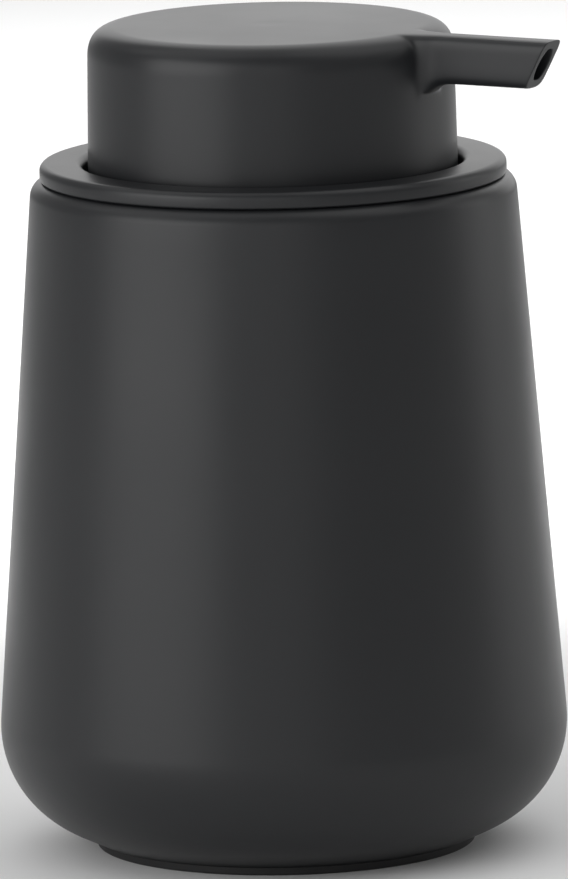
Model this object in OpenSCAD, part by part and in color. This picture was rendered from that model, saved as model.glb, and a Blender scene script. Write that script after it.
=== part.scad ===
// Soap pump dispenser: a conical stoneware vessel with a flat collar ring and a broad
// press head whose slim spout lies flush with its top. The pump lifts out for refilling.
// The spout points along +X, +Z is up, and the origin is the centre of the rest face.

/* [Vessel] */
// Diameter of the vessel at its widest point
belly_d = 80.2; // [80.2:0.2:84]
// Height of the widest point above the table
belly_z = 17.3; // [16.8:0.1:18]
// Radius of the rounded lower edge
belly_round = 15.7; // [15:0.1:16]
// Slope of the underside between the rounded edge and the foot, in degrees
under_slope = 25.5; // [24:0.5:27]
// Taper of the side from the vertical, in degrees
side_taper = 4.4; // [4.2:0.1:4.5]
// Height of the rim that carries the collar
rim_z = 95.2; // [95:0.1:95.4]
// Radius of the shoulder between side and rim
shoulder_round = 2.4; // [1:0.2:2.4]
// Thickness of the stoneware wall
wall = 4.3; // [4:0.1:4.3]
// Radius of the mouth
mouth_r = 30.2; // [30.2:0.05:30.3]

/* [Foot] */
// Radius of the foot pad
pad_r = 26.8; // [25:0.2:27]
// Height of the foot pad that shows under the vessel
pad_h = 1.2; // [1.2:0.1:1.4]

/* [Collar] */
// Outer radius of the collar ring
collar_r = 32.9; // [32:0.1:33]
// Thickness of the collar ring
collar_h = 2.4; // [2:0.1:3]
// Radius of the hole that the head sinks into
collar_hole_r = 26.75; // [26.6:0.05:26.9]

/* [Head] */
// Height of the head's top above the table
head_top_z = 116.8; // [116.8:0.2:119]
// Radius of the head just under its rounded top edge
head_r = 25.8; // [25.3:0.1:25.8]
// Draft of the head's side, in degrees
head_draft = 0.9; // [0.5:0.1:0.9]
// Radius of the head's top edge
head_round = 3.2; // [2.5:0.1:4]
// Height of the head's lower edge at rest
skirt_z = 93.3; // [93:0.1:94]
// Thickness of the head's wall
head_wall = 2; // [1.6:0.1:2]
// How far the head travels when it is pressed
stroke = 9; // [6:0.5:9]

/* [Spout] */
// Distance of the spout's upper tip from the axis
spout_reach = 46; // [42:0.2:50]
// Width of the spout
spout_w = 4.8; // [4.8:0.1:5.4]
// Height of the spout
spout_h = 6.9; // [6.8:0.1:7.2]
// Radius of the spout's upper edges
spout_edge = 1.1; // [0.6:0.1:1.3]
// Radius of the spout's lower edges
spout_under = 1.6; // [1:0.1:1.8]
// Width of the oval bore
bore_w = 3; // [2.9:0.1:3.1]
// Height of the oval bore
bore_h = 4.8; // [4.2:0.1:4.8]
// Slant of the spout's end from the vertical, in degrees
tip_slant = 28; // [10:1:32]
// Radius of the blend between spout and head
root_round = 3; // [1.5:0.5:4]

/* [Pump] */
// Bore radius of the pump cylinder
cylinder_r = 7; // [7:0.1:7.4]
// Radius of the stem
stem_r = 3.5; // [3.5:0.05:3.6]
// Wire diameter of the return spring
wire_d = 0.9; // [0.6:0.1:1]
// Number of turns of the return spring
spring_turns = 7; // [5:1:8]

/* [Hidden] */
$fn = 96;

fit = 0.05;          // radial clearance of a running or a pushed fit
slack = 0.1;         // radial clearance of a loose fit within one body
belly_r = belly_d / 2;
belly_c = [belly_r - belly_round, belly_z];
taper_n = [cos(side_taper), sin(side_taper)];
pad_spigot_r = 22;
pad_spigot_h = 1.1;

// Pump carrier: a skirt in the mouth, a floor, and a neck for the pump
carrier_r = 29.2;
carrier_in_r = 27.8;
carrier_z = rim_z - 15.4;
carrier_floor = 1.8;
neck_r = 11.2;
neck_in_r = 8.9;
neck_z = rim_z - 9.4;
seal_z = rim_z - 10.4;
seal_h = 7;
mouth_depth = 12;

// Pump cylinder, from its flange down to the dip tube's socket
gasket_h = 1;
flange_h = 1.5;
flange_z = neck_z + gasket_h;
cap_z = flange_z + 2 * flange_h + slack;
guide_top_z = cap_z + 2.4;
barrel_wall = 1.2;
barrel_z = 48;
chamber_z = 42;
chamber_r = 3.2;
seat_z = 40;
seat_r = 1.6;
tail_z = 33;
tail_r = 4.8;
tube_r = 3;
tube_in_r = 2;
tube_end_z = 8.5;
ball_r = 2.5;

// Moving column at rest
retainer_z = 50;
spring_z = 51;
disc_z = 70;
disc_h = 1.5;
disc_r = 5.2;
piston_h = 6.5;
lost_motion = 1;
stop_h = 1;
stop_w = 1.2;
stem_top_z = head_top_z - 6;
stem_in_r = 2;
chaplet_z = disc_z + disc_h + piston_h + lost_motion + stop_h + fit;
core_z = guide_top_z + stroke + 0.5;
core_r = 6;
spout_z = head_top_z - spout_h;
bore_low_z = spout_z + (spout_h - bore_h) / 2;
nozzle_z = bore_low_z + bore_w / 2;
nozzle_r = bore_w / 2 - slack;

// Centre of a round edge of radius r that touches a level line at z and a leaning side.
// The side leans by the angle lean and lies at distance d from the origin along its normal.
function edge_centre(d, lean, z, r) = [(d - r - (z - r) * sin(lean)) / cos(lean), z - r];
function along(c, r, a) = [c[0] + r * cos(a), c[1] + r * sin(a)];

module ring(r0, r1, z0, z1) { translate([r0, z0]) square([r1 - r0, z1 - z0]); }

// Section of the vessel from its foot to its rim: a sloping underside, a rounded lower edge
// about belly_c, a leaning side that touches it, and a rounded shoulder
module vessel_section() {
    d = belly_c * taper_n + belly_round;
    shoulder = edge_centre(d, side_taper, rim_z, shoulder_round);
    under = along(belly_c, belly_round, under_slope - 90);
    foot_x = under[0] - (under[1] - pad_h) / tan(under_slope);
    polygon([[0, pad_h], [foot_x, pad_h], under, belly_c, along(belly_c, belly_round, side_taper),
        along(shoulder, shoulder_round, side_taper), shoulder, [shoulder[0], rim_z], [0, rim_z]]);
    translate(belly_c) circle(belly_round, $fn = 128);
    translate(shoulder) circle(shoulder_round);
}

// The cavity: the same side one wall further in, and a small step up to the straight mouth
module cavity_section() {
    r = belly_round - wall;
    side = along(belly_c, r, side_taper);
    mouth_z = rim_z - mouth_depth;
    top_r = side[0] - (mouth_z - 1 - side[1]) * tan(side_taper);
    polygon([[0, belly_z - r], [belly_c[0], belly_z - r], belly_c, side, [top_r, mouth_z - 1],
        [mouth_r, mouth_z], [mouth_r, rim_z + 1], [0, rim_z + 1]]);
    translate(belly_c) circle(r, $fn = 128);
}

module stoneware_body() {
    color("#2b2c2f") rotate_extrude($fn = 160) difference() {
        vessel_section();
        cavity_section();
        ring(0, pad_spigot_r + slack, pad_h - 1, pad_h + pad_spigot_h + slack);
    }
}

module base_pad() {
    color("#151516") rotate_extrude() {
        ring(0, pad_r - 0.4, 0, pad_h);
        ring(pad_r - 1, pad_r, 0.4, pad_h);
        translate([pad_r - 0.4, 0.4]) circle(0.4, $fn = 32);
        ring(0, pad_spigot_r, pad_h - 0.2, pad_h + pad_spigot_h);
    }
}

// Flat ring with a rounded side and a rounded lip, and a short skirt inside the carrier
module collar() {
    color("#2a2b2e") rotate_extrude($fn = 160) {
        ring(collar_hole_r + 1.2, collar_r - 1, rim_z, rim_z + collar_h);
        ring(collar_r - 1.2, collar_r - 0.4, rim_z, rim_z + 1);
        translate([collar_r - 1, rim_z + collar_h - 1]) circle(1, $fn = 48);
        ring(collar_r - 1.2, collar_r, rim_z + 0.4, rim_z + collar_h - 1);
        translate([collar_r - 0.4, rim_z + 0.4]) circle(0.4, $fn = 48);
        translate([collar_hole_r + 1.2, rim_z + collar_h - 1.2]) circle(1.2, $fn = 48);
        ring(collar_hole_r, collar_hole_r + 1.4, rim_z, rim_z + collar_h - 1.2);
        ring(collar_hole_r, carrier_in_r - fit, rim_z - 4.4, rim_z + 0.1);
    }
}

module pump_carrier() {
    color("#3a3b3e") rotate_extrude($fn = 160) {
        difference() {
            ring(carrier_in_r, carrier_r, carrier_z, rim_z);
            ring(carrier_r - 0.5, carrier_r + 1, seal_z - slack, seal_z + seal_h + slack);
        }
        ring(neck_in_r, carrier_r, carrier_z, carrier_z + carrier_floor);
        ring(neck_in_r, neck_r, carrier_z, neck_z);
    }
}

// Band in the carrier's groove with three soft lips
module mouth_seal() {
    lip_r = 0.55;
    band_r = mouth_r - 0.1 - lip_r;
    color("#1b1b1c") rotate_extrude($fn = 160) {
        ring(carrier_r - 0.5 + fit, band_r + 0.1, seal_z, seal_z + seal_h);
        for (i = [0:2]) translate([band_r, seal_z + 1 + i * (seal_h - 2) / 2]) circle(lip_r, $fn = 32);
    }
}

module screw_cap() {
    cap_r = 13;
    color("#3a3b3e") difference() {
        rotate_extrude() {
            ring(neck_r + 0.3, cap_r, neck_z - 3.6, cap_z + 1.4);
            ring(5.8, cap_r - 0.5, cap_z, cap_z + 1.4);
        }
        for (a = [0:15:345]) rotate(a) translate([cap_r + 0.45, 0, neck_z - 4])
            cylinder(r = 0.8, h = cap_z - neck_z + 4.2, $fn = 24);
    }
}

module housing_gasket() {
    color("#e8e8e4") rotate_extrude() ring(neck_in_r + slack, neck_r, neck_z, flange_z);
}

// Cylinder with a flange on top, a ball seat at the bottom and a socket for the dip tube
module pump_housing() {
    barrel_r = cylinder_r + barrel_wall;
    color("#dfe3e4") rotate_extrude() difference() {
        union() {
            ring(0, barrel_r, barrel_z, flange_z + 0.1);
            ring(0, neck_r, flange_z, flange_z + flange_h);
            polygon([[0, tail_z], [tail_r - 0.6, tail_z], [tail_r, tail_z + 3], [tail_r, barrel_z - 3],
                [barrel_r, barrel_z], [0, barrel_z]]);
        }
        ring(-1, cylinder_r, retainer_z, flange_z + flange_h + 1);
        ring(-1, chamber_r, chamber_z, retainer_z + 1);
        polygon([[-1, seat_z], [seat_r, seat_z], [chamber_r, chamber_z], [-1, chamber_z + 0.1]]);
        ring(-1, seat_r, seat_z - 3, seat_z + 0.1);
        ring(-1, tube_r + fit, tail_z - 1, seat_z - 1);
    }
}

// Guide bush: its lower end stops the stem, and its flange is held by the screw cap
module chaplet() {
    color("#dfe3e4") rotate_extrude() difference() {
        union() {
            ring(0, cylinder_r - slack, chaplet_z, flange_z + flange_h + 0.1);
            ring(0, neck_r - 0.5, flange_z + flange_h, cap_z - slack);
            ring(0, 5.5, cap_z - 0.5, guide_top_z);
        }
        ring(-1, stem_r + fit, chaplet_z - 1, guide_top_z + 1);
        ring(stem_r + stop_w + 0.3, cylinder_r - slack - 1, chaplet_z - 1, flange_z);
    }
}

module ball_retainer() {
    color("#e8e8e4") rotate_extrude() {
        ring(1.8, cylinder_r - slack, retainer_z, spring_z);
        ring(1.8, chamber_r - slack, chamber_z + 3.8, retainer_z + 0.1);
    }
}

// The ball rests 0.03 mm off the cone of its seat
module inlet_ball() {
    lean = atan2(chamber_z - seat_z, chamber_r - seat_r);
    rest_z = seat_z + (ball_r + 0.03 - seat_r * sin(lean)) / cos(lean);
    color("#c8ccd0") translate([0, 0, rest_z]) sphere(ball_r, $fn = 48);
}

// Coil with closed ends, swept by functions round its centreline
module return_spring() {
    mean_r = 4.2;
    wire_r = wire_d / 2;
    height = disc_z - spring_z;
    steps = 24;
    sides = 8;
    last = spring_turns * steps;
    rise = (height - 2 * wire_r - 2 * wire_d) / (spring_turns - 2);
    function coil_z(t) = spring_z + wire_r + wire_d * min(t, 1)
        + rise * min(max(t - 1, 0), spring_turns - 2) + wire_d * max(t - spring_turns + 1, 0);
    function ring_point(i, j) = let (a = 360 * i / steps, b = 360 * j / sides,
        r = mean_r + wire_r * cos(b)) [r * cos(a), r * sin(a), coil_z(i / steps) + wire_r * sin(b)];
    points = [for (i = [0:last], j = [0:sides - 1]) ring_point(i, j)];
    skin = [for (i = [0:last - 1], j = [0:sides - 1]) let (k = (j + 1) % sides)
        [i * sides + j, i * sides + k, (i + 1) * sides + k, (i + 1) * sides + j]];
    start = [for (j = [sides - 1:-1:0]) j];
    end = [for (j = [0:sides - 1]) last * sides + j];
    color("#b8bcc0") polyhedron(points, concat([start, end], skin), convexity = 10);
}

module dip_tube() {
    color("#e6eaea") difference() {
        rotate_extrude() ring(tube_in_r, tube_r, tube_end_z, seat_z - 1);
        translate([0, 0, tube_end_z]) rotate([0, 30, 0]) translate([0, 0, -5])
            cube([20, 20, 10], center = true);
    }
}

// Hollow stem with a stop ring above the piston
module stem() {
    stop_z = chaplet_z - fit - stop_h;
    color("#e8e8e4") rotate_extrude() {
        ring(stem_in_r, stem_r, disc_z + 4, stem_top_z);
        ring(stem_in_r, stem_r + stop_w, stop_z, stop_z + stop_h);
    }
}

// Foot of the stem: the valve disc, a thin neck with a cross port, and a pushed-in tube
module piston_rod() {
    neck_top_z = disc_z + 4;
    color("#e8e8e4") difference() {
        rotate_extrude() {
            ring(0, disc_r, disc_z, disc_z + disc_h);
            ring(0, 2, disc_z, neck_top_z);
            ring(0, stem_in_r - fit, disc_z, neck_top_z + 5);
        }
        translate([0, 0, disc_z + 2.4]) cylinder(r = 1.1, h = 10);
        translate([0, 0, disc_z + 2.8]) rotate([90, 0, 0]) cylinder(r = 0.8, h = 6, center = true);
    }
}

// Ring that wipes the cylinder and slides a little on the stem; it rests on the valve disc
module piston() {
    z0 = disc_z + disc_h;
    color("#f0f0ee") rotate_extrude() {
        ring(stem_r + fit, disc_r, z0 + fit, z0 + piston_h);
        ring(stem_r + fit, cylinder_r - fit, z0 + 2, z0 + 4);
        ring(cylinder_r - 1, cylinder_r - fit, z0 + 0.5, z0 + 5.5);
    }
}

// Section of the press head's outside, or of its hollow when inset is the wall's thickness
module head_section(inset, low_z) {
    r = head_round - inset;
    d = head_r * cos(head_draft) + (head_top_z - head_round) * sin(head_draft) - inset;
    edge = edge_centre(d, head_draft, head_top_z - inset, r);
    low_r = (d - low_z * sin(head_draft)) / cos(head_draft);
    polygon([[0, low_z], [low_r, low_z], along(edge, r, head_draft), edge,
        [edge[0], head_top_z - inset], [0, head_top_z - inset]]);
    translate(edge) circle(r, $fn = 64);
}

// Section of the spout: straight sides between two rounded upper and two fuller lower edges
module spout_section() {
    half = spout_w / 2;
    for (s = [-1, 1]) {
        translate([s * (half - spout_under), spout_z + spout_under]) circle(spout_under, $fn = 64);
        translate([s * (half - spout_edge), head_top_z - spout_edge]) circle(spout_edge, $fn = 48);
    }
    translate([spout_under - half, spout_z]) square([spout_w - 2 * spout_under, spout_h / 2]);
    translate([-half, spout_z + spout_under]) square([spout_w, spout_h - spout_under - spout_edge]);
    translate([spout_edge - half, spout_z + spout_h / 2]) square([spout_w - 2 * spout_edge, spout_h / 2]);
}

module bore_section() {
    r = bore_w / 2;
    for (z = [bore_low_z + r, bore_low_z + bore_h - r]) translate([0, z]) circle(r, $fn = 48);
    translate([-r, bore_low_z + r]) square([bore_w, bore_h - bore_w]);
}

// Lays a section drawn in width and height along +X
module along_spout(x0, x1) { translate([x0, 0, 0]) rotate([90, 0, 90]) linear_extrude(x1 - x0) children(); }

// Plan of the blend: the corner between head and spout, filled up to a hollow round
module root_plan() {
    y = spout_w / 2 + root_round;
    x = sqrt(pow(head_r + root_round, 2) - y * y);
    touch = head_r / (head_r + root_round);
    difference() {
        polygon([[head_r - head_round, -y * touch], [x * touch, -y * touch], [x, -spout_w / 2 + 0.01],
            [x, spout_w / 2 - 0.01], [x * touch, y * touch], [head_r - head_round, y * touch]]);
        for (s = [-1, 1]) translate([x, s * y]) circle(root_round, $fn = 64);
    }
}

module head_shell() {
    root_h = spout_h - spout_under - spout_edge;
    color("#2a2b2e") difference() {
        union() {
            rotate_extrude($fn = 160) head_section(0, skirt_z);
            along_spout(head_r - head_round, spout_reach) spout_section();
            translate([0, 0, spout_z + spout_under]) linear_extrude(root_h) root_plan();
        }
        rotate_extrude($fn = 160) head_section(head_wall, skirt_z - 1);
        along_spout(head_r - head_round - 4, spout_reach + 5) bore_section();
        translate([spout_reach, 0, head_top_z]) rotate([0, tip_slant, 0])
            translate([0, -10, -30]) cube([20, 20, 40]);
    }
}

// Boss on the stem with six ribs under the head's top, and the way out to the nozzle
module head_core() {
    top = head_top_z - head_wall;
    color("#3a3b3e") difference() {
        union() {
            rotate_extrude() ring(0, core_r, core_z, top);
            for (a = [30:60:330]) rotate(a) translate([core_r - 0.5, -0.6, top - 8])
                cube([head_r - head_wall - head_round - core_r + 0.5, 1.2, 8]);
        }
        translate([0, 0, core_z - 1]) cylinder(r = stem_r + fit, h = stem_top_z - core_z + 1 + fit);
        translate([0, 0, stem_top_z - 1]) cylinder(r = 1.8, h = nozzle_z - stem_top_z + 1);
        translate([0, 0, nozzle_z]) rotate([0, 90, 0]) cylinder(r = nozzle_r + fit / 2, h = core_r + 1);
    }
}

module nozzle_tube() {
    x0 = 2;
    x1 = spout_reach - spout_h * tan(tip_slant) - 2;
    color("#3a3b3e") translate([x0, 0, nozzle_z]) rotate([0, 90, 0]) difference() {
        cylinder(r = nozzle_r, h = x1 - x0);
        translate([0, 0, -1]) cylinder(r = nozzle_r - 0.5, h = x1 - x0 + 2);
    }
}

stoneware_body();
base_pad();
collar();
pump_carrier();
mouth_seal();
screw_cap();
housing_gasket();
pump_housing();
chaplet();
ball_retainer();
inlet_ball();
return_spring();
dip_tube();
stem();
piston_rod();
piston();
head_shell();
head_core();
nozzle_tube();
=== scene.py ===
"""Looks of a stoneware soap dispenser with a press head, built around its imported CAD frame.

Lengths in the classes are millimetres, as on a maker's drawing, and become metres when a mesh is
made. The spout points along +X, +Z is up, and the origin is the centre of the rest face.
"""

import logging
import math
from dataclasses import dataclass, field
from enum import Enum
from typing import Iterable, Optional, Sequence

import bmesh
import bpy
from mathutils import Matrix, Vector


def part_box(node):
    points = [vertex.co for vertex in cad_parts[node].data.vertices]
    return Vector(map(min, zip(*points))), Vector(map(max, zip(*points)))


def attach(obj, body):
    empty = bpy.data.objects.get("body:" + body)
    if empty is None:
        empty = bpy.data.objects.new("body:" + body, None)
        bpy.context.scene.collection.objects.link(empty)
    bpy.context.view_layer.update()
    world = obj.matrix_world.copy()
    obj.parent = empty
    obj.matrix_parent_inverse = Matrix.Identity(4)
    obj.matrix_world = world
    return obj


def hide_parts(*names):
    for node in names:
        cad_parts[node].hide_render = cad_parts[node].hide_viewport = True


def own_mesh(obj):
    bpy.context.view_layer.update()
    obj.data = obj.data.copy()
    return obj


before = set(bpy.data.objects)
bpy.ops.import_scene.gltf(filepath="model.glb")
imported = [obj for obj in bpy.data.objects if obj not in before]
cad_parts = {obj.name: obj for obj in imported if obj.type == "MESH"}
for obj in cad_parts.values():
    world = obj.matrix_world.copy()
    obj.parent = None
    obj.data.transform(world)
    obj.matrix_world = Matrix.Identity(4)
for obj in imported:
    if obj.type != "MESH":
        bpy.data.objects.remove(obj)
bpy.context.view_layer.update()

MM = 0.001
# A Mix node has inputs and a result of its own for each kind of data; these are the factor and the colours.
MIX_FACTOR, MIX_A, MIX_B, MIX_RESULT = 0, 6, 7, 2
# A noise's values mostly lie between these.
NOISE_LOW, NOISE_HIGH = 0.3, 0.7
Point = tuple[float, float]
Outline = list[Point]

log = logging.getLogger("soap_dispenser")


def lowest(node: str) -> Vector:
    """Lowest corner of a CAD node's box, in millimetres."""
    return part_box(node)[0] / MM


def highest(node: str) -> Vector:
    """Highest corner of a CAD node's box, in millimetres."""
    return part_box(node)[1] / MM


# ---------------------------------------------------------------- outlines

def arc(centre: Point, radius: float, start: float, end: float, steps: int = 8) -> Outline:
    """Points along an arc.

    Args:
        centre: Centre of the arc, as radius and height.
        radius: Radius of the arc.
        start: Angle of the first point, in degrees from the outward direction.
        end: Angle of the last point.
        steps: Number of straight steps between them.

    Returns:
        The points, both ends included.
    """
    angles = [math.radians(start + (end - start) * i / steps) for i in range(steps + 1)]
    return [(centre[0] + radius * math.cos(a), centre[1] + radius * math.sin(a)) for a in angles]


def line(start: Point, end: Point, steps: int) -> Outline:
    """Evenly spaced points from start to end, both included."""
    return [(start[0] + (end[0] - start[0]) * i / steps, start[1] + (end[1] - start[1]) * i / steps)
            for i in range(steps + 1)]


def line_heights(start: float, end: float, steps: int) -> list[float]:
    """Evenly spaced heights from start to end, both included."""
    return [start + (end - start) * i / steps for i in range(steps + 1)]


def softened(corners: Sequence[Point], radius: float, steps: int = 3) -> Outline:
    """Closed outline with each corner turned into a small round.

    Args:
        corners: Corners in order round the outline.
        radius: How far from its corner each round begins; less on short sides.
        steps: Number of steps in a round.

    Returns:
        The points of the outline.
    """
    points: Outline = []
    for i, corner in enumerate(corners):
        here = Vector(corner)
        ends = []
        for other in (corners[i - 1], corners[(i + 1) % len(corners)]):
            side = Vector(other) - here
            ends.append(here + side.normalized() * min(radius, side.length * 0.4))
        for step in range(steps + 1):
            t = step / steps
            point = ends[0] * (1 - t) ** 2 + here * 2 * t * (1 - t) + ends[1] * t ** 2
            points.append((point.x, point.y))
    return points


# ---------------------------------------------------------------- mesh making

def new_object(name: str, data: bpy.types.ID) -> bpy.types.Object:
    """Makes an object of a mesh, a camera or a light, and links it to the scene.

    Args:
        name: Name of the object.
        data: What it holds.

    Returns:
        The new object.
    """
    made = bpy.data.objects.new(name, data)
    bpy.context.scene.collection.objects.link(made)
    return made


def finish_mesh(bm: bmesh.types.BMesh, name: str, sharp_angle: float = 40.0) -> bpy.types.Object:
    """Turns a bmesh drawn in millimetres into a smooth-shaded object at the origin.

    Args:
        bm: The mesh; it is freed here.
        name: Name of the piece.
        sharp_angle: Edges sharper than this, in degrees, keep a crisp shading.

    Returns:
        The new object, linked to the scene.
    """
    bmesh.ops.remove_doubles(bm, verts=bm.verts, dist=1e-4)
    bmesh.ops.recalc_face_normals(bm, faces=bm.faces)
    bmesh.ops.scale(bm, vec=(MM, MM, MM), verts=bm.verts)
    for face in bm.faces:
        face.smooth = True
    for edge in bm.edges:
        if len(edge.link_faces) == 2 and edge.calc_face_angle(0.0) > math.radians(sharp_angle):
            edge.smooth = False
    mesh = bpy.data.meshes.new(name)
    bm.to_mesh(mesh)
    bm.free()
    return new_object(name, mesh)


def spin_outline(bm: bmesh.types.BMesh, outline: Sequence[Point], steps: int, closed: bool) -> None:
    """Turns an outline once round the Z axis.

    Args:
        bm: The mesh to draw in.
        outline: Points as radius and height, in order along the outline.
        steps: Number of steps in the full turn.
        closed: True if the last point joins the first; False if both ends lie on the axis.
    """
    verts = [bm.verts.new((r, 0.0, z)) for r, z in outline]
    edges = [bm.edges.new(pair) for pair in zip(verts, verts[1:])]
    if closed:
        edges.append(bm.edges.new((verts[-1], verts[0])))
    bmesh.ops.spin(bm, geom=verts + edges, cent=(0, 0, 0), axis=(0, 0, 1), dvec=(0, 0, 0),
                   angle=math.tau, steps=steps, use_merge=True, use_duplicate=False)
    bmesh.ops.remove_doubles(bm, verts=bm.verts, dist=1e-4)


def turned(name: str, outline: Sequence[Point], steps: int = 192, closed: bool = True) -> bpy.types.Object:
    """Makes a turned piece from one outline.

    Args:
        name: Name of the piece.
        outline: Points as radius and height, in order along the outline.
        steps: Number of steps in the full turn.
        closed: As in spin_outline.

    Returns:
        The new object.
    """
    bm = bmesh.new()
    spin_outline(bm, outline, steps, closed)
    return finish_mesh(bm, name)


# ---------------------------------------------------------------- materials

def linear(colour: str) -> tuple[float, float, float, float]:
    """Turns an sRGB colour into a linear one.

    Args:
        colour: Six hex digits, such as "2b2c2f".

    Returns:
        Linear red, green, blue and alpha.
    """
    parts = [int(colour[i:i + 2], 16) / 255 for i in (0, 2, 4)]
    red, green, blue = ((p / 12.92 if p <= 0.04045 else ((p + 0.055) / 1.055) ** 2.4) for p in parts)
    return red, green, blue, 1.0


def add_node(tree: bpy.types.NodeTree, kind: str, links: Optional[dict[str, bpy.types.NodeSocket]] = None,
             values: Optional[dict[str, object]] = None, **settings: object) -> bpy.types.Node:
    """Adds one node.

    Args:
        tree: The material's node tree.
        kind: Blender's name of the node's type.
        links: Output sockets to join to this node's inputs, by input name or number.
        values: Values to set on this node's inputs, by input name or number.
        settings: Properties of the node itself.

    Returns:
        The new node.
    """
    node = tree.nodes.new(kind)
    for key, value in settings.items():
        setattr(node, key, value)
    for key, value in (values or {}).items():
        node.inputs[key].default_value = value
    for key, socket in (links or {}).items():
        tree.links.new(socket, node.inputs[key])
    return node


def start_material(name: str) -> tuple[bpy.types.Material, bpy.types.NodeTree, bpy.types.Node,
                                       bpy.types.NodeSocket]:
    """A new node material.

    Args:
        name: Name of the material.

    Returns:
        The material, its tree, its Principled shader and the Object coordinate's socket.
    """
    material = bpy.data.materials.new(name)
    material.use_nodes = True
    tree = material.node_tree
    tree.nodes.clear()
    shader = add_node(tree, "ShaderNodeBsdfPrincipled")
    add_node(tree, "ShaderNodeOutputMaterial", {"Surface": shader.outputs["BSDF"]})
    place = add_node(tree, "ShaderNodeTexCoord").outputs["Object"]
    return material, tree, shader, place


def set_shader(tree: bpy.types.NodeTree, shader: bpy.types.Node, patterns: dict[str, bpy.types.NodeSocket],
               constants: dict[str, object]) -> None:
    """Joins the patterns to the shader, and sets the constants straight on its own sockets.

    Args:
        tree: The material's node tree.
        shader: The Principled shader.
        patterns: Output sockets to join, by the shader's input name.
        constants: Values to set, by the shader's input name.
    """
    for key, socket in patterns.items():
        tree.links.new(socket, shader.inputs[key])
    for key, value in constants.items():
        shader.inputs[key].default_value = value


def around(middle: float, swing: float) -> dict[str, float]:
    """Values of a Map Range node that turns a noise into a middle value, give or take a swing."""
    return {"From Min": NOISE_LOW, "From Max": NOISE_HIGH, "To Min": middle - swing, "To Max": middle + swing}


@dataclass(frozen=True)
class SoftTouchLacquer:
    """Soft-touch polyurethane lacquer, sprayed on stoneware or ABS.

    The spray dries to a fine pebble that scatters light, so it looks like matt rubber, with faint
    cloudy patches where the coat is thicker or has been handled.
    """

    name: str
    colour: str = "1b1c1e"
    worn_colour: str = "1f2022"
    roughness: float = 0.38
    roughness_swing: float = 0.03
    pebble_mm: float = 0.35
    pebble_depth_mm: float = 0.006
    wave_mm: float = 28.0
    wave_depth_mm: float = 0.03
    ior: float = 1.43

    def material(self) -> bpy.types.Material:
        """Builds the material.

        Returns:
            The finished material.
        """
        material, tree, shader, place = start_material(self.name)
        clouds = add_node(tree, "ShaderNodeTexNoise", {"Vector": place},
                          {"Scale": 1 / (self.wave_mm * MM), "Detail": 4.0, "Roughness": 0.55})
        colour = add_node(tree, "ShaderNodeMix", {MIX_FACTOR: clouds.outputs["Fac"]},
                          {MIX_A: linear(self.colour), MIX_B: linear(self.worn_colour)}, data_type="RGBA")
        rough = add_node(tree, "ShaderNodeMapRange", {"Value": clouds.outputs["Fac"]},
                         around(self.roughness, self.roughness_swing))
        # The real pebble is about 0.1 mm; it is drawn coarser here, because finer would not show.
        pebble = add_node(tree, "ShaderNodeTexNoise", {"Vector": place},
                          {"Scale": 1 / (self.pebble_mm * MM), "Detail": 2.0, "Roughness": 0.6})
        wave = add_node(tree, "ShaderNodeBump", {"Height": clouds.outputs["Fac"]},
                        {"Strength": 1.0, "Distance": self.wave_depth_mm * MM})
        bump = add_node(tree, "ShaderNodeBump",
                        {"Height": pebble.outputs["Fac"], "Normal": wave.outputs["Normal"]},
                        {"Strength": 1.0, "Distance": self.pebble_depth_mm * MM})
        patterns = {"Base Color": colour.outputs[MIX_RESULT], "Roughness": rough.outputs["Result"],
                    "Normal": bump.outputs["Normal"]}
        set_shader(tree, shader, patterns, {"IOR": self.ior})
        return material


@dataclass(frozen=True)
class MouldedPlastic:
    """Injection-moulded plastic, smooth from the mould, with a faint flow pattern and fine eroded grain.

    Undyed grades are milky: light enters them a little and comes out again close by.
    """

    name: str
    colour: str
    streak_colour: str
    roughness: float
    roughness_swing: float = 0.05
    flow_mm: float = 9.0
    grain_mm: float = 0.5
    grain_depth_mm: float = 0.004
    milkiness: float = 0.0
    milk_depth_mm: float = 0.8
    ior: float = 1.49

    def material(self) -> bpy.types.Material:
        """Builds the material.

        Returns:
            The finished material.
        """
        material, tree, shader, place = start_material(self.name)
        # Flow lines run round the piece where the melt met, a few millimetres apart.
        flow = add_node(tree, "ShaderNodeTexNoise", {"Vector": place},
                        {"Scale": 1 / (self.flow_mm * MM), "Detail": 3.0, "Distortion": 0.6})
        colour = add_node(tree, "ShaderNodeMix", {MIX_FACTOR: flow.outputs["Fac"]},
                          {MIX_A: linear(self.colour), MIX_B: linear(self.streak_colour)}, data_type="RGBA")
        rough = add_node(tree, "ShaderNodeMapRange", {"Value": flow.outputs["Fac"]},
                         around(self.roughness, self.roughness_swing))
        grain = add_node(tree, "ShaderNodeTexNoise", {"Vector": place},
                         {"Scale": 1 / (self.grain_mm * MM), "Detail": 2.0})
        bump = add_node(tree, "ShaderNodeBump", {"Height": grain.outputs["Fac"]},
                        {"Strength": 1.0, "Distance": self.grain_depth_mm * MM})
        patterns = {"Base Color": colour.outputs[MIX_RESULT], "Roughness": rough.outputs["Result"],
                    "Normal": bump.outputs["Normal"]}
        set_shader(tree, shader, patterns, {"IOR": self.ior, "Subsurface Weight": self.milkiness,
                                            "Subsurface Scale": self.milk_depth_mm * MM})
        return material


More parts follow.
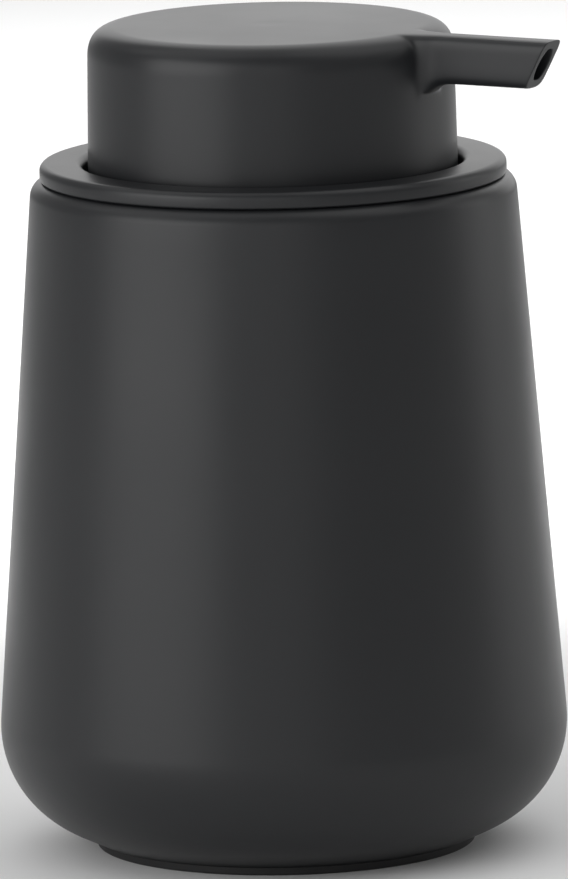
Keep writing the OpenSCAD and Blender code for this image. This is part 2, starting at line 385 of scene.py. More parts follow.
@dataclass(frozen=True)
class MouldedSilicone:
    """Compression-moulded silicone rubber: dull, slightly dusty, with a sheen at shallow angles."""

    name: str
    colour: str = "151516"
    dust_colour: str = "222223"
    roughness: float = 0.62
    dust_mm: float = 3.0
    dust_depth_mm: float = 0.01
    ior: float = 1.41
    sheen: float = 0.05

    def material(self) -> bpy.types.Material:
        """Builds the material.

        Returns:
            The finished material.
        """
        material, tree, shader, place = start_material(self.name)
        dust = add_node(tree, "ShaderNodeTexNoise", {"Vector": place},
                        {"Scale": 1 / (self.dust_mm * MM), "Detail": 6.0, "Roughness": 0.65})
        colour = add_node(tree, "ShaderNodeMix", {MIX_FACTOR: dust.outputs["Fac"]},
                          {MIX_A: linear(self.colour), MIX_B: linear(self.dust_colour)}, data_type="RGBA")
        bump = add_node(tree, "ShaderNodeBump", {"Height": dust.outputs["Fac"]},
                        {"Strength": 1.0, "Distance": self.dust_depth_mm * MM})
        patterns = {"Base Color": colour.outputs[MIX_RESULT], "Normal": bump.outputs["Normal"]}
        set_shader(tree, shader, patterns, {"Roughness": self.roughness, "IOR": self.ior,
                                            "Sheen Weight": self.sheen})
        return material


@dataclass(frozen=True)
class DrawnSteel:
    """Stainless steel, drawn or ground: bright, with fine scratches that spread the highlights."""

    name: str
    colour: str = "c9cacc"
    roughness: float = 0.28
    roughness_swing: float = 0.08
    scratch_mm: float = 0.4
    scratch_depth_mm: float = 0.003

    def material(self) -> bpy.types.Material:
        """Builds the material.

        Returns:
            The finished material.
        """
        material, tree, shader, place = start_material(self.name)
        # Scratches lie round the piece: the pattern is drawn out across the height.
        stretched = add_node(tree, "ShaderNodeMapping", {"Vector": place}, {"Scale": (0.15, 0.15, 1.0)})
        scratch = add_node(tree, "ShaderNodeTexNoise", {"Vector": stretched.outputs["Vector"]},
                           {"Scale": 1 / (self.scratch_mm * MM), "Detail": 3.0})
        rough = add_node(tree, "ShaderNodeMapRange", {"Value": scratch.outputs["Fac"]},
                         around(self.roughness, self.roughness_swing))
        bump = add_node(tree, "ShaderNodeBump", {"Height": scratch.outputs["Fac"]},
                        {"Strength": 1.0, "Distance": self.scratch_depth_mm * MM})
        patterns = {"Roughness": rough.outputs["Result"], "Normal": bump.outputs["Normal"]}
        set_shader(tree, shader, patterns, {"Base Color": linear(self.colour), "Metallic": 1.0})
        return material


class Finish(Enum):
    """The finishes of this dispenser; each value is the recipe of one material."""

    COATED_STONEWARE = SoftTouchLacquer("soft_touch_lacquer_on_stoneware")
    COATED_ABS = SoftTouchLacquer("soft_touch_lacquer_on_abs", wave_mm=45.0, wave_depth_mm=0.01)
    DARK_POLYPROPYLENE = MouldedPlastic("moulded_dark_polypropylene", "313235", "37383b", 0.42)
    NATURAL_POLYPROPYLENE = MouldedPlastic("moulded_natural_polypropylene", "dadfde", "e6eae8", 0.3,
                                           milkiness=0.5)
    WHITE_POLYETHYLENE = MouldedPlastic("moulded_white_polyethylene", "e2e2dd", "ecece8", 0.38,
                                        milkiness=0.25)
    BLACK_SILICONE = MouldedSilicone("moulded_black_silicone")
    STAINLESS_STEEL = DrawnSteel("drawn_stainless_steel")


class Workshop:
    """Dresses the pieces and keeps each finish as one shared material."""

    def __init__(self) -> None:
        """Starts with no material made."""
        self._made: dict[Finish, bpy.types.Material] = {}

    def dress(self, piece: bpy.types.Object, finish: Finish) -> None:
        """Gives a piece one finish all over.

        Args:
            piece: The piece.
            finish: Its finish.
        """
        if finish not in self._made:
            self._made[finish] = finish.value.material()
        piece.data.materials.clear()
        piece.data.materials.append(self._made[finish])

    def fit(self, piece: bpy.types.Object, body: str, slot: str, finish: Finish,
            *nodes: str) -> None:
        """Dresses a new piece and joins it to the frame.

        Args:
            piece: The new piece, in place.
            body: CAD body that it moves with.
            slot: Name of the record's material slot for the piece; not used.
            finish: Its finish.
            nodes: CAD nodes that it stands for.
        """
        self.dress(piece, finish)
        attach(piece, body)
        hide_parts(*nodes)
        log.info("%s rides on %s with %d faces", piece.name, body, len(piece.data.polygons))


# ---------------------------------------------------------------- the vessel

@dataclass
class Vessel:
    """The conical stoneware vessel and the silicone foot that it stands on."""

    belly_r: float = highest("stoneware_body").x
    belly_z: float = 17.3
    belly_round: float = 15.7
    under_slope: float = 25.5
    taper: float = 4.4
    rim_z: float = highest("stoneware_body").z
    shoulder_round: float = 2.4
    wall: float = 4.3
    mouth_r: float = 30.2
    mouth_depth: float = 12.0
    mouth_step: float = 1.0
    lip: float = 0.8
    foot_z: float = lowest("stoneware_body").z
    foot_r: float = highest("base_pad").x
    foot_edge: float = 0.35
    recess_r: float = 22.1
    foot_fit: float = 0.1
    recess_z: float = highest("base_pad").z + foot_fit

    def side_point(self, radius: float) -> Point:
        """Where an arc of that radius about the belly's centre touches the leaning side."""
        a = math.radians(self.taper)
        return (self.belly_r - self.belly_round + radius * math.cos(a), self.belly_z + radius * math.sin(a))

    def shoulder_centre(self) -> Point:
        """Finds the centre of the round between the leaning side and the level rim.

        Returns:
            The centre, as radius and height.
        """
        a = math.radians(self.taper)
        x, z = self.side_point(self.belly_round)
        reach = x * math.cos(a) + z * math.sin(a) - self.shoulder_round
        height = self.rim_z - self.shoulder_round
        return ((reach - height * math.sin(a)) / math.cos(a), height)

    def outline(self) -> Outline:
        """Open section of the vessel, from the recess underneath up the outside and down the cavity.

        Returns:
            The points, as radius and height.
        """
        centre = (self.belly_r - self.belly_round, self.belly_z)
        inner_round = self.belly_round - self.wall
        belly = arc(centre, self.belly_round, self.under_slope - 90, self.taper, 40)
        drop = belly[0][1] - self.foot_z
        foot_x = belly[0][0] - drop / math.tan(math.radians(self.under_slope))
        shoulder = self.shoulder_centre()
        top = arc(shoulder, self.shoulder_round, self.taper, 90, 10)
        inside = self.side_point(inner_round)
        mouth_z = self.rim_z - self.mouth_depth
        throat_z = mouth_z - self.mouth_step
        throat = (inside[0] - (throat_z - inside[1]) * math.tan(math.radians(self.taper)), throat_z)
        return (line((0, self.recess_z), (self.recess_r, self.recess_z), 4)
                + line((self.recess_r, self.foot_z), (foot_x, self.foot_z), 3)
                + line((foot_x, self.foot_z), belly[0], 5)[1:-1] + belly
                + line(belly[-1], top[0], 24)[1:-1] + top
                + arc((self.mouth_r + self.lip, self.rim_z - self.lip), self.lip, 90, 180, 6)
                + [(self.mouth_r, mouth_z)] + line(throat, inside, 12)[:-1]
                + arc(centre, inner_round, self.taper, -90, 24)
                + line((centre[0], centre[1] - inner_round), (0, centre[1] - inner_round), 4)[1:])

    def foot_outline(self) -> Outline:
        """Open section of the foot pad, from the axis round to the axis.

        Returns:
            The points, as radius and height.
        """
        spigot = self.recess_r - self.foot_fit
        top = self.recess_z - self.foot_fit
        return (line((0, 0), (self.foot_r - self.foot_edge, 0), 5)[:-1]
                + arc((self.foot_r - self.foot_edge, self.foot_edge), self.foot_edge, -90, 0, 5)
                + [(self.foot_r, self.foot_z), (spigot, self.foot_z), (spigot, top), (0, top)])

    def build(self, shop: Workshop) -> None:
        """Builds the vessel and its foot.

        Args:
            shop: Workshop that dresses the pieces.
        """
        body = turned("stoneware_vessel", self.outline(), steps=256, closed=False)
        shop.fit(body, "vessel", "charcoal_stoneware", Finish.COATED_STONEWARE, "stoneware_body")
        foot = turned("foot_pad", self.foot_outline(), closed=False)
        shop.fit(foot, "vessel", "black_silicone", Finish.BLACK_SILICONE, "base_pad")


# ---------------------------------------------------------------- the pump unit

@dataclass
class Collar:
    """Flat ring on the rim, with a rounded side and a rolled lip round its hole."""

    outer_r: float = highest("collar").x
    hole_r: float = 26.75
    low_z: float = highest("stoneware_body").z
    high_z: float = highest("collar").z
    skirt_z: float = lowest("collar").z
    skirt_r: float = 27.75
    edge: float = 1.0
    lip: float = 1.2
    foot_edge: float = 0.4

    def outline(self) -> Outline:
        """Closed section of the ring with its skirt.

        Returns:
            The points, as radius and height.
        """
        return ([(self.hole_r, self.skirt_z), (self.skirt_r, self.skirt_z), (self.skirt_r, self.low_z)]
                + line((self.skirt_r, self.low_z), (self.outer_r - self.foot_edge, self.low_z), 3)[1:-1]
                + arc((self.outer_r - self.foot_edge, self.low_z + self.foot_edge), self.foot_edge, -90, 0, 5)
                + arc((self.outer_r - self.edge, self.high_z - self.edge), self.edge, 0, 90, 8)
                + arc((self.hole_r + self.lip, self.high_z - self.lip), self.lip, 90, 180, 10))

    def build(self, shop: Workshop) -> None:
        """Builds the collar."""
        ring = turned("collar_ring", self.outline(), steps=256)
        shop.fit(ring, "pump_unit", "charcoal_abs", Finish.COATED_ABS, "collar")


@dataclass
class PumpCarrier:
    """Plug that hangs in the mouth: its skirt, its floor, its neck, and the lipped silicone seal."""

    skirt_r: float = highest("pump_carrier").x
    inner_r: float = 27.8
    low_z: float = lowest("pump_carrier").z
    high_z: float = highest("pump_carrier").z
    floor: float = 1.8
    neck_r: float = highest("housing_gasket").x
    neck_in_r: float = 8.9
    neck_z: float = lowest("housing_gasket").z
    seal_z: float = lowest("mouth_seal").z
    seal_h: float = highest("mouth_seal").z - lowest("mouth_seal").z
    seal_r: float = highest("mouth_seal").x
    groove: float = 0.5
    groove_fit: float = 0.1
    chamfer: float = 0.9
    seal_lip: float = 0.55
    seal_fit: float = 0.05
    soft_edge: float = 0.3

    def outline(self) -> Outline:
        """Closed section of the carrier, with the seal's groove.

        Returns:
            The points, as radius and height.
        """
        groove_r = self.skirt_r - self.groove
        groove_low = self.seal_z - self.groove_fit
        groove_high = self.seal_z + self.seal_h + self.groove_fit
        corners = [(self.neck_in_r, self.low_z), (self.skirt_r - self.chamfer, self.low_z),
                   (self.skirt_r, self.low_z + self.chamfer), (self.skirt_r, groove_low),
                   (groove_r, groove_low), (groove_r, groove_high),
                   (self.skirt_r, groove_high), (self.skirt_r, self.high_z), (self.inner_r, self.high_z),
                   (self.inner_r, self.low_z + self.floor), (self.neck_r, self.low_z + self.floor),
                   (self.neck_r, self.neck_z), (self.neck_in_r, self.neck_z)]
        return softened(corners, self.soft_edge)

    def seal_outline(self) -> Outline:
        """Closed section of the seal: a band with three soft lips.

        Returns:
            The points, as radius and height.
        """
        band = self.seal_r - self.seal_lip
        inner = self.skirt_r - self.groove + self.seal_fit
        points: Outline = [(inner, self.seal_z), (band, self.seal_z)]
        for i in range(3):
            points += arc((band, self.seal_z + 1 + i * (self.seal_h - 2) / 2), self.seal_lip, -90, 90, 8)
        return points + [(band, self.seal_z + self.seal_h), (inner, self.seal_z + self.seal_h)]

    def build(self, shop: Workshop) -> None:
        """Builds the carrier and its seal.

        Args:
            shop: Workshop that dresses the pieces.
        """
        carrier = turned("carrier_plug", self.outline())
        shop.fit(carrier, "pump_unit", "dark_polypropylene", Finish.DARK_POLYPROPYLENE, "pump_carrier")
        seal = turned("mouth_seal_ring", self.seal_outline())
        shop.fit(seal, "pump_unit", "black_silicone", Finish.BLACK_SILICONE, "mouth_seal")


@dataclass
class PumpCylinder:
    """Cylinder with its flange and its ball seat, and the dip tube that is pushed into its tail."""

    low_z: float = lowest("pump_housing").z
    high_z: float = highest("pump_housing").z
    flange_r: float = highest("pump_housing").x
    flange_h: float = 1.5
    barrel_r: float = 8.2
    barrel_z: float = 48.0
    bore_r: float = 7.0
    shelf_z: float = 50.0
    chamber_r: float = 3.2
    chamber_z: float = 42.0
    seat_r: float = 1.6
    seat_z: float = 40.0
    seat_wall: float = 1.0
    tail_r: float = 4.8
    tail_taper: float = 0.6
    cone_h: float = 3.0
    fit: float = 0.05
    soft_edge: float = 0.35
    tube_r: float = highest("dip_tube").x
    tube_in_r: float = 2.0
    tube_low_z: float = lowest("dip_tube").z
    tube_high_z: float = highest("dip_tube").z
    tube_cut: float = 30.0

    def outline(self) -> Outline:
        """Closed section of the cylinder.

        Returns:
            The points, as radius and height.
        """
        socket_r = self.tube_r + self.fit
        socket_z = self.seat_z - self.seat_wall
        corners = [(self.bore_r, self.high_z), (self.bore_r, self.shelf_z), (self.chamber_r, self.shelf_z),
                   (self.chamber_r, self.chamber_z), (self.seat_r, self.seat_z), (self.seat_r, socket_z),
                   (socket_r, socket_z), (socket_r, self.low_z), (self.tail_r - self.tail_taper, self.low_z),
                   (self.tail_r, self.low_z + self.cone_h), (self.tail_r, self.barrel_z - self.cone_h),
                   (self.barrel_r, self.barrel_z), (self.barrel_r, self.high_z - self.flange_h),
                   (self.flange_r, self.high_z - self.flange_h), (self.flange_r, self.high_z)]
        return softened(corners, self.soft_edge)

    def build_tube(self) -> bpy.types.Object:
        """Draws the dip tube, whose lower end is cut at a slant so that it can't seal on the floor.

        Returns:
            The new object.
        """
        bm = bmesh.new()
        section = [(self.tube_in_r, self.tube_low_z), (self.tube_r, self.tube_low_z),
                   (self.tube_r, self.tube_high_z), (self.tube_in_r, self.tube_high_z)]
        spin_outline(bm, section, 64, closed=True)
        slant = math.radians(self.tube_cut)
        start = (0, 0, self.tube_low_z + self.tube_r * math.tan(slant))
        everything = list(bm.verts) + list(bm.edges) + list(bm.faces)
        cut = bmesh.ops.bisect_plane(bm, geom=everything, plane_co=start, clear_inner=True,
                                     plane_no=(math.sin(slant), 0, math.cos(slant)))
        rim = [g for g in cut["geom_cut"] if isinstance(g, bmesh.types.BMEdge)]
        bmesh.ops.bridge_loops(bm, edges=rim)
        return finish_mesh(bm, "slant_cut_dip_tube")

    def build(self, shop: Workshop) -> None:
        """Builds the cylinder and its tube.

        Args:
            shop: Workshop that dresses the pieces.
        """
        cylinder = turned("pump_cylinder", self.outline(), steps=128)
        shop.fit(cylinder, "pump_unit", "natural_polypropylene", Finish.NATURAL_POLYPROPYLENE, "pump_housing")
        tube = self.build_tube()
        shop.fit(tube, "pump_unit", "natural_polypropylene", Finish.NATURAL_POLYPROPYLENE, "dip_tube")


@dataclass
class ReturnSpring:
    """Stainless coil spring in the pump cylinder, drawn at one length; the real one shortens as the head is
    pressed.
    """

    mean_r: float = 4.2
    wire_r: float = 0.45
    turns: int = 7
    low_z: float = lowest("return_spring").z
    high_z: float = highest("return_spring").z
    stroke: float = 9.0
    steps_per_turn: int = 32
    sides: int = 12

    def build(self, shop: Workshop) -> None:
        """Builds the coil by a spin that rises.

        Args:
            shop: Workshop that dresses the pieces.
        """
        low_z = self.low_z
        height = self.high_z - low_z
        closed = 2 * self.wire_r
        stages = ((1, closed), (self.turns - 2, height - 3 * closed), (1, closed))
        bm = bmesh.new()
        made = bmesh.ops.create_circle(bm, cap_ends=False, radius=self.wire_r, segments=self.sides)
        bmesh.ops.rotate(bm, cent=(0, 0, 0), matrix=Matrix.Rotation(math.pi / 2, 3, "X"), verts=made["verts"])
        bmesh.ops.translate(bm, vec=(self.mean_r, 0, low_z + self.wire_r), verts=made["verts"])
        front: list = list(bm.verts) + list(bm.edges)
        start = list(bm.edges)
        for turns, rise in stages:
            steps = turns * self.steps_per_turn
            made = bmesh.ops.spin(bm, geom=front, cent=(0, 0, 0), axis=(0, 0, 1), dvec=(0, 0, rise / steps),
                                  angle=math.tau * turns, steps=steps, use_merge=False, use_duplicate=False)
            front = made["geom_last"]
        end = [e for e in front if isinstance(e, bmesh.types.BMEdge)]
        bmesh.ops.contextual_create(bm, geom=start)
        bmesh.ops.contextual_create(bm, geom=end)
        coil = finish_mesh(bm, "return_coil")
        shop.fit(coil, "pump_unit", "stainless_steel", Finish.STAINLESS_STEEL, "return_spring")
        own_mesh(coil)


# ---------------------------------------------------------------- the press head

@dataclass
class PressHead:
    """Broad round head with its slim spout, one moulding with a hollow underside."""

    top_z: float = highest("head_shell").z
    top_r: float = 25.8
    draft: float = 0.9
    edge_round: float = 3.2
    edge_steps: int = 3
    flat_margin: float = 0.7
    skirt_z: float = lowest("head_shell").z
    skirt_lip: float = 0.45
    wall: float = 2.0
    ceiling_round: float = 1.5
    hole_top: float = 1.6
    hole_bottom: float = 4.4
    columns: int = 128
    spout_columns: int = 5
    reach: float = highest("head_shell").x
    width: float = 4.8
    height: float = 6.9
    corner: float = 1.2
    tip_slant: float = 28.0
    root_round: float = 1.7
    root_drop: float = 1.0
    sink_r: float = 3.4
    sink_depth: float = 0.035
    fullness: float = 3.6
    bore_w: float = 3.0
    bore_h: float = 4.8
    bore_inset: float = 0.03
    tip_edge: float = 0.18
    side_step: float = 1.3
    side_rows: int = 4

    def side_r(self, z: float) -> float:
        """Outer radius of the drafted side at a height."""
        return self.top_r + (self.top_z - self.edge_round - z) * math.tan(math.radians(self.draft))

    def row_heights(self) -> list[float]:
        """Lists the rows of the side that the spout grows from.

        Returns:
            Their heights, from the top down.
        """
        start = self.top_z - self.edge_round
        edge = arc((self.top_r - self.edge_round, start), self.edge_round, 90, 0, self.edge_steps)
        return [z for _, z in edge] + [start - self.side_step * (i + 1) for i in range(self.side_rows)]

    def outline(self) -> Outline:
        """Open section of the shell, from the top's centre round the skirt to the ceiling's centre.

        Returns:
            The points, as radius and height.
        """
        flat_r = self.top_r - self.edge_round
        start = self.top_z - self.edge_round
        side = self.row_heights()[self.edge_steps + 1:]
        skirt = line_heights(side[-1] - 2, self.skirt_z + 1.2, 4)
        ceiling = self.top_z - self.wall
        cavity = (line_heights(self.skirt_z + 2, ceiling - self.hole_bottom - 0.4, 2)
                  + line_heights(ceiling - self.hole_bottom, ceiling - self.hole_top, 7))
        lip = self.skirt_lip
        out_r = self.side_r(self.skirt_z)
        in_r = out_r - self.wall
        turn_r = self.top_r - self.wall - self.ceiling_round
        # The sink mark: a shallow dish over the boss, with its depth as a share at shares of its radius.
        sink = [(share * self.sink_r, self.top_z - self.sink_depth * depth)
                for share, depth in ((0.0, 1.0), (0.35, 0.95), (0.7, 0.4))]
        return (sink + line((self.sink_r, self.top_z), (flat_r - self.flat_margin, self.top_z), 5)
                + arc((flat_r, start), self.edge_round, 90, 0, self.edge_steps)
                + [(self.side_r(z), z) for z in side + skirt]
                + [(out_r, self.skirt_z + lip), (out_r - lip * 0.3, self.skirt_z + lip * 0.3),
                   (out_r - lip, self.skirt_z), (in_r + lip, self.skirt_z),
                   (in_r + lip * 0.3, self.skirt_z + lip * 0.3), (in_r, self.skirt_z + lip)]
                + [(self.side_r(z) - self.wall, z) for z in cavity]
                + arc((turn_r, ceiling - self.ceiling_round), self.ceiling_round, 0, 90, 3)[1:]
                + line((turn_r - self.flat_margin, ceiling), (0, ceiling), 2))

    def section(self, grow: float, drop: float) -> dict[tuple[int, int], Point]:
        """Places of the spout's ring points, as width and height, by row and column.

        Args:
            grow: How far the ring stands out from the spout's own sides, for the blend at its root.
            drop: How far the ring's underside lies below the spout's own.

        Returns:
            The place of each point of the ring.
        """
        half = self.width / 2
        round_z = self.top_z - self.height + half - drop
        last = self.edge_steps + self.side_rows
        cols = self.spout_columns
        places: dict[tuple[int, int], Point] = {}
        flat = 1 - self.corner / half
        for col, share in zip(range(1, cols), (-flat, -0.28, 0.28, flat)):
            places[(0, col)] = (share * (half + grow), self.top_z)
        # The smoothed surface turns this corner with the wanted radius if its point is drawn in.
        tuck = self.corner * 0.2
        for side, col in ((-1, 0), (1, cols)):
            places[(0, col)] = (side * (half + grow - tuck), self.top_z - tuck)
            # Rows 1 to 4 lie on the flat side, 5 and 6 on the round below it, the last along the bottom.
            heights = line_heights(self.top_z - self.corner, round_z, 3)
            for row, z in zip(range(1, 5), heights):
                places[(row, col)] = (side * (half + grow), z)
            for row, angle in ((5, 14), (6, 28)):
                places[(row, col)] = self._low_point(side, angle, round_z, half + grow)
        for col, angle in enumerate((135, 117, 99, 81, 63, 45)):
            places[(last, col)] = self._low_point(1, angle, round_z, half + grow)
        return places

    def _low_point(self, side: int, angle: float, round_z: float, radius: float) -> Point:
        """Finds a point of the full underside; a fullness of 2 would make it a circle.

        Args:
            side: 1 or -1, for the side that angles count from.
            angle: Degrees below the level.
            round_z: Height where the underside begins.
            radius: Half of its width.

        Returns:
            The point, as width and height.
        """
        a = math.radians(angle)
        level = math.copysign(abs(math.cos(a)) ** (2 / self.fullness), math.cos(a))
        return (side * radius * level, round_z - radius * math.sin(a) ** (2 / self.fullness))

    def bore_place(self, place: Point, shrink: float) -> Point:
        """The point of the oval bore that faces a point of the spout's section.

        Args:
            place: Point of the section, as width and height.
            shrink: How far inside the bore's own outline it lies; negative outside.

        Returns:
            The point on the oval.
        """
        middle = self.top_z - self.height / 2
        half_w, half_h = self.bore_w / 2 - shrink, self.bore_h / 2 - shrink
        angle = math.atan2((place[1] - middle) / half_h, place[0] / half_w)
        return (half_w * math.cos(angle), middle + half_h * math.sin(angle))

    def place_ring(self, verts: Iterable[bmesh.types.BMVert], layer: object, x: float, grow: float = 0.0,
                   drop: float = 0.0, slanted: bool = False, bore: Optional[float] = None) -> None:
        """Moves one ring of the spout to its place.

        Args:
            verts: The ring's vertices.
            layer: Layer that says which row and column each belongs to.
            x: Distance from the axis at the top.
            grow: As in section.
            drop: As in section.
            slanted: True if the ring lies in the slanted plane of the spout's end.
            bore: If given, the ring lies this far inside the bore's outline.
        """
        places = self.section(grow, drop)
        slope = math.tan(math.radians(self.tip_slant)) if slanted else 0.0
        for vert in verts:
            y, z = places[divmod(vert[layer], 10)]
            if bore is not None:
                y, z = self.bore_place((y, z), bore)
            vert.co = (x - (self.top_z - z) * slope, y, z)

    def grow_spout(self, bm: bmesh.types.BMesh) -> None:
        """Draws the spout out of the side, cuts its slanted end and bores it through.

        Args:
            bm: The mesh, with the head already turned.
        """
        layer = bm.verts.layers.int.new("ring_place")
        cols = self.spout_columns
        step = 360 / self.columns
        rows = self.row_heights()
        half_angle = cols * step / 2

        def azimuth(vert: bmesh.types.BMVert) -> float:
            """Angle of a point round the axis, in degrees."""
            return math.degrees(math.atan2(vert.co.y, vert.co.x))

        def inside(face: bmesh.types.BMFace, low: float, high: float, near: float) -> bool:
            """True if a face lies in the spout's sector, between two heights and beyond a radius."""
            centre = face.calc_center_median()
            return (abs(math.degrees(math.atan2(centre.y, centre.x))) < half_angle
                    and low < centre.z < high and centre.xy.length > near)

        limit = self.top_r - self.edge_round
        patch = [f for f in bm.faces if inside(f, rows[-1], self.top_z - 0.01, limit) and f.normal.x > 0.1]
        root = bmesh.ops.dissolve_faces(bm, faces=patch, use_verts=True)["region"][0]
        for vert in root.verts:
            row = min(range(len(rows)), key=lambda i: abs(rows[i] - vert.co.z))
            vert[layer] = row * 10 + round((azimuth(vert) + half_angle) / step)
        surface = self.side_r(self.top_z - self.height) - 0.05
        blend, drop = self.root_round, self.root_drop
        # Each ring's distance from the axis, how far it stands out, and how far its underside drops.
        stations = [(surface + blend * 0.3, blend * 0.26, drop), (surface + blend, 0.06, drop * 0.42),
                    (surface + blend + 1.4, 0.0, drop * 0.08), (surface + blend + 3.0, 0.0, 0.0),
                    (surface + 8.0, 0.0, 0.0), (self.reach - 6.5, 0.0, 0.0)]
        face = root
        for x, grow, down in stations:
            face = self.extrude(bm, face)
            self.place_ring(face.verts, layer, x, grow, down)
        for x in (self.reach - self.tip_edge * 2.5, self.reach):
            face = self.extrude(bm, face)
            self.place_ring(face.verts, layer, x, slanted=True)
        face = self.extrude(bm, face)
        self.place_ring(face.verts, layer, self.reach, grow=-self.tip_edge, slanted=True)
        mouth = [(self.reach, -self.tip_edge), (self.reach, 0.0)]
        depths = (self.tip_edge * 1.5, 3.0, 12.0, 18.0)
        for x, bore in mouth + [(self.reach - depth, self.bore_inset) for depth in depths]:
            face = self.extrude(bm, face)
            self.place_ring(face.verts, layer, x, slanted=True, bore=bore)
        ceiling = self.top_z - self.wall
        hole = [f for f in bm.faces
                if inside(f, ceiling - self.hole_bottom, ceiling - self.hole_top, 20.0) and f.normal.x < -0.1
                and f.calc_center_median().x < self.top_r - self.wall + 0.6]
        opening = bmesh.ops.dissolve_faces(bm, faces=hole, use_verts=True)["region"][0]
        edges = list(face.edges) + list(opening.edges)
        bmesh.ops.delete(bm, geom=[face, opening], context="FACES_ONLY")
        bmesh.ops.bridge_loops(bm, edges=edges)

    @staticmethod
    def extrude(bm: bmesh.types.BMesh, face: bmesh.types.BMFace) -> bmesh.types.BMFace:
        """Extrudes one face.

        Args:
            bm: The mesh.
            face: The face; it is deleted.

        Returns:
            The face that now closes the end.
        """
        made = bmesh.ops.extrude_face_region(bm, geom=[face])["geom"]
        if face.is_valid:
            bmesh.ops.delete(bm, geom=[face], context="FACES_ONLY")
        return next(g for g in made if isinstance(g, bmesh.types.BMFace))

    def build(self, shop: Workshop) -> None:
        """Builds the head with its spout.

        Args:
            shop: Workshop that dresses the pieces.
        """
        bm = bmesh.new()
        spin_outline(bm, self.outline(), self.columns, closed=False)
        half_step = math.pi / self.columns
        bmesh.ops.rotate(bm, cent=(0, 0, 0), matrix=Matrix.Rotation(half_step, 3, "Z"), verts=bm.verts)
        bmesh.ops.recalc_face_normals(bm, faces=bm.faces)
        self.grow_spout(bm)
        head = finish_mesh(bm, "press_head", sharp_angle=180)
        smooth = head.modifiers.new("smooth", "SUBSURF")
        smooth.levels = smooth.render_levels = 2
        shop.fit(head, "head", "charcoal_abs", Finish.COATED_ABS, "head_shell")


# ---------------------------------------------------------------- CAD pieces that stay

@dataclass
class InnerWorks:
    """The pump's inner pieces, whose CAD shapes are already right: they only get their finishes."""

    finishes: dict[str, Finish] = field(default_factory=lambda: {
        "screw_cap": Finish.DARK_POLYPROPYLENE, "head_core": Finish.DARK_POLYPROPYLENE,
        "nozzle_tube": Finish.DARK_POLYPROPYLENE, "chaplet": Finish.NATURAL_POLYPROPYLENE,
        "stem": Finish.WHITE_POLYETHYLENE, "piston_rod": Finish.WHITE_POLYETHYLENE,
        "piston": Finish.WHITE_POLYETHYLENE, "ball_retainer": Finish.WHITE_POLYETHYLENE,
        "housing_gasket": Finish.WHITE_POLYETHYLENE, "inlet_ball": Finish.STAINLESS_STEEL})

    def build(self, shop: Workshop) -> None:
        """Dresses each piece.

        Args:
            shop: Workshop that dresses the pieces.
        """
        for node, finish in self.finishes.items():
            shop.dress(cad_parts[node], finish)
            log.info("%s keeps its CAD shape", node)


# ---------------------------------------------------------------- the studio

@dataclass(frozen=True)
class SoftBox:
    """A rectangular soft light: its angles from the camera's bearing and the horizon, sizes and watts."""

    name: str
    azimuth: float
    elevation: float
    distance: float
    width: float
    height: float
    power: float


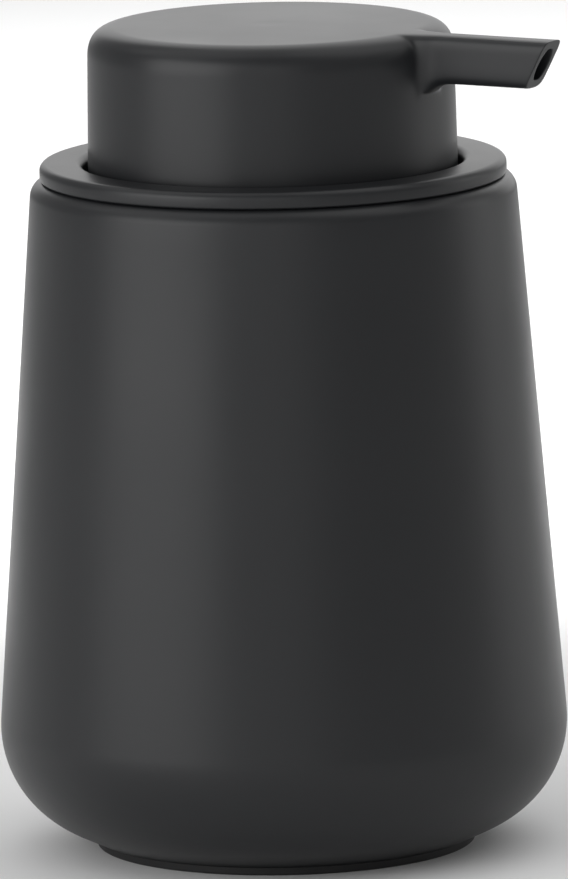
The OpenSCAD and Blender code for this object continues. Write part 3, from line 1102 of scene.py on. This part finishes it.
@dataclass
class Studio:
    """Pale floor, soft lights and the camera."""

    azimuth: float = 31.0
    elevation: float = 9.5
    distance: float = 2000.0
    aim_z: float = 57.45
    aim_right: float = 0.78
    roll: float = 1.15
    lens: float = 580.0
    floor_half: float = 6000.0
    sky: float = 0.31
    panel: float = 1.38
    panel_turn: float = 172.0
    panel_sides: Point = (20.0, 32.0)
    panel_top: Point = (54.0, 62.0)
    spot_front: float = 600.0
    spot_height: float = 1500.0
    spot_reach: float = 520.0
    spot_angle: float = 21.0
    spot_blend: float = 0.5
    spot_power: float = 130.0
    spot_size: float = 60.0
    light_aim_z: float = 60.0
    soft_boxes: tuple[SoftBox, ...] = (
        SoftBox("high_left", azimuth=-90, elevation=62, distance=1000, width=900, height=900, power=1.8),
        SoftBox("high_right", azimuth=90, elevation=62, distance=1000, width=900, height=900, power=2.1),
        SoftBox("front_left", azimuth=-54, elevation=12, distance=1000, width=1000, height=800, power=6.0),
        SoftBox("front", azimuth=0, elevation=14, distance=1200, width=600, height=600, power=0.9),
        SoftBox("back_right", azimuth=110, elevation=10, distance=1200, width=500, height=800, power=1.5))

    def direction(self, azimuth: float, elevation: float) -> Vector:
        """Unit vector towards a place seen at that azimuth and elevation, in degrees."""
        a, e = math.radians(azimuth), math.radians(elevation)
        return Vector((math.sin(a) * math.cos(e), -math.cos(a) * math.cos(e), math.sin(e)))

    def aimed(self, place: Vector, towards: Vector) -> Matrix:
        """Matrix of a camera or a lamp at a place in millimetres that looks along a direction."""
        return Matrix.Translation(place * MM) @ towards.to_track_quat("-Z", "Y").to_matrix().to_4x4()

    def build_camera(self) -> None:
        """Places the camera."""
        data = bpy.data.cameras.new("camera")
        camera = new_object("camera", data)
        a = math.radians(self.azimuth)
        right = Vector((math.cos(a), math.sin(a), 0))
        aim = Vector((0, 0, self.aim_z)) + right * self.aim_right
        back = self.direction(self.azimuth, self.elevation)
        roll = Matrix.Rotation(math.radians(-self.roll), 4, "Z")
        camera.matrix_world = self.aimed(aim + back * self.distance, -back) @ roll
        data.sensor_width = 36.0
        data.lens = self.lens
        data.clip_start, data.clip_end = 0.05, 50.0
        bpy.context.scene.camera = camera

    def add_light(self, box: SoftBox) -> None:
        """Adds one soft light that faces the dispenser.

        Args:
            box: The light to add.
        """
        data = bpy.data.lights.new(box.name, "AREA")
        data.shape = "RECTANGLE"
        data.size, data.size_y, data.energy = box.width * MM, box.height * MM, box.power
        light = new_object(box.name, data)
        back = self.direction(self.azimuth + box.azimuth, box.elevation)
        light.matrix_world = self.aimed(Vector((0, 0, self.light_aim_z)) + back * box.distance, -back)

    def build_floor(self) -> None:
        """Lays the pale floor."""
        bm = bmesh.new()
        bmesh.ops.create_grid(bm, x_segments=1, y_segments=1, size=self.floor_half)
        floor = finish_mesh(bm, "floor")
        material, tree, shader, place = start_material("matt_white_card")
        shade = add_node(tree, "ShaderNodeTexNoise", {"Vector": place}, {"Scale": 3.0, "Detail": 2.0})
        colour = add_node(tree, "ShaderNodeMix", {MIX_FACTOR: shade.outputs["Fac"]},
                          {MIX_A: linear("f4f4f4"), MIX_B: linear("f6f6f6")}, data_type="RGBA")
        set_shader(tree, shader, {"Base Color": colour.outputs[MIX_RESULT]}, {"Roughness": 0.9})
        floor.data.materials.append(material)

    def build_sky(self) -> None:
        """Surrounds the table with dim white light and one bright panel low behind the dispenser."""
        world = bpy.data.worlds.new("studio")
        world.use_nodes = True
        tree = world.node_tree
        towards = self.direction(self.azimuth + self.panel_turn, 0)
        place = add_node(tree, "ShaderNodeTexCoord").outputs["Generated"]
        level = add_node(tree, "ShaderNodeVectorMath", {0: place}, {1: (1, 1, 0)}, operation="MULTIPLY")
        bearing = add_node(tree, "ShaderNodeVectorMath", {0: level.outputs["Vector"]}, operation="NORMALIZE")
        near = add_node(tree, "ShaderNodeVectorMath", {0: bearing.outputs["Vector"]}, {1: towards},
                        operation="DOT_PRODUCT")
        height = add_node(tree, "ShaderNodeSeparateXYZ", {"Vector": place})
        inner, outer = (math.cos(math.radians(a)) for a in self.panel_sides)
        full, gone = (math.sin(math.radians(a)) for a in self.panel_top)
        between = add_node(tree, "ShaderNodeMapRange", {"Value": near.outputs["Value"]},
                           {"From Min": outer, "From Max": inner}, interpolation_type="SMOOTHSTEP")
        below = add_node(tree, "ShaderNodeMapRange", {"Value": height.outputs["Z"]},
                         {"From Min": gone, "From Max": full}, interpolation_type="SMOOTHSTEP")
        on_panel = add_node(tree, "ShaderNodeMath", operation="MULTIPLY",
                            links={0: between.outputs["Result"], 1: below.outputs["Result"]})
        strength = add_node(tree, "ShaderNodeMapRange", {"Value": on_panel.outputs["Value"]},
                            {"To Min": self.sky, "To Max": self.panel})
        background = tree.nodes["Background"]
        background.inputs["Color"].default_value = (1, 1, 1, 1)
        tree.links.new(strength.outputs["Result"], background.inputs["Strength"])
        bpy.context.scene.world = world

    def build_backlight(self) -> None:
        """Adds a spotlight from high in front that lights only the strip of floor behind."""
        data = bpy.data.lights.new("floor_spot", "SPOT")
        data.spot_size, data.spot_blend = math.radians(self.spot_angle), self.spot_blend
        data.energy, data.shadow_soft_size = self.spot_power, self.spot_size * MM
        spot = new_object("floor_spot", data)
        behind = self.direction(self.azimuth + 180, 0)
        start = behind * -self.spot_front + Vector((0, 0, self.spot_height))
        spot.matrix_world = self.aimed(start, behind * self.spot_reach - start)

    def build(self) -> None:
        """Sets up the camera, the floor, the lights and the surrounding light."""
        self.build_camera()
        self.build_floor()
        self.build_sky()
        self.build_backlight()
        for box in self.soft_boxes:
            self.add_light(box)
        bpy.context.scene.view_settings.view_transform = "Standard"


def main() -> None:
    """Builds the dispenser and its studio in order."""
    logging.basicConfig(level=logging.INFO, format="%(message)s")
    shop = Workshop()
    Studio().build()
    Vessel().build(shop)
    Collar().build(shop)
    PumpCarrier().build(shop)
    PumpCylinder().build(shop)
    ReturnSpring().build(shop)
    PressHead().build(shop)
    InnerWorks().build(shop)


if __name__ == "__main__":
    main()
